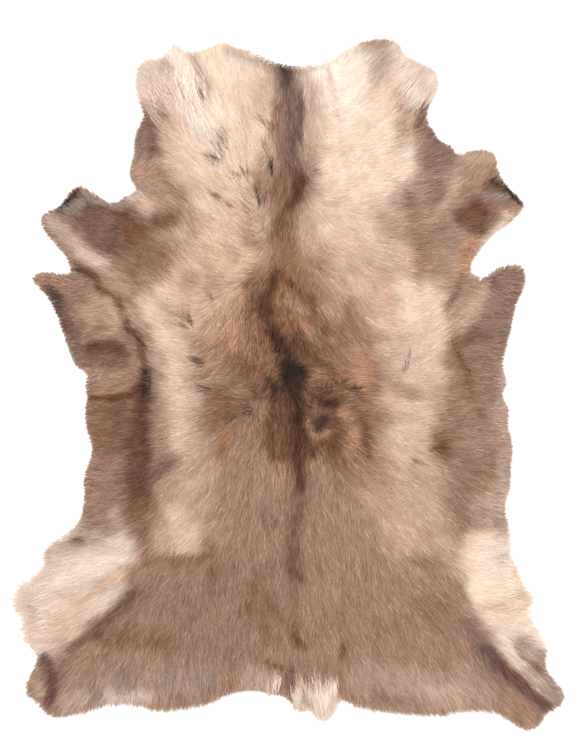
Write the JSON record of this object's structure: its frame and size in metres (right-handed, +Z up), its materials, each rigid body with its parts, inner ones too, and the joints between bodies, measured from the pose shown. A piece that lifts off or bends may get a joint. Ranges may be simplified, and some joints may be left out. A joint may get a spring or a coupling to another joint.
{
  "type": "reindeer hide",
  "caption": "Flat tanned reindeer hide with its coat, in the animal's outline, with short leg flaps and a small tail tuft.",
  "frame": {"origin": "on the floor, under the middle of the hide's box", "axes": "+X across the hide, to the right with the neck end away from the viewer, +Y along the back towards the neck end, +Z up out of the coat"},
  "size_m": [0.9804, 1.2426, 0.031],
  "materials": {
    "coat": "dense combed winter coat, cream and tan along the back and grey-brown at the flanks and rump",
    "skin": "matt tanned flesh side, napped like suede"
  },
  "bodies": {
    "root": {"hide": "coat"}
  },
  "joints": []
}
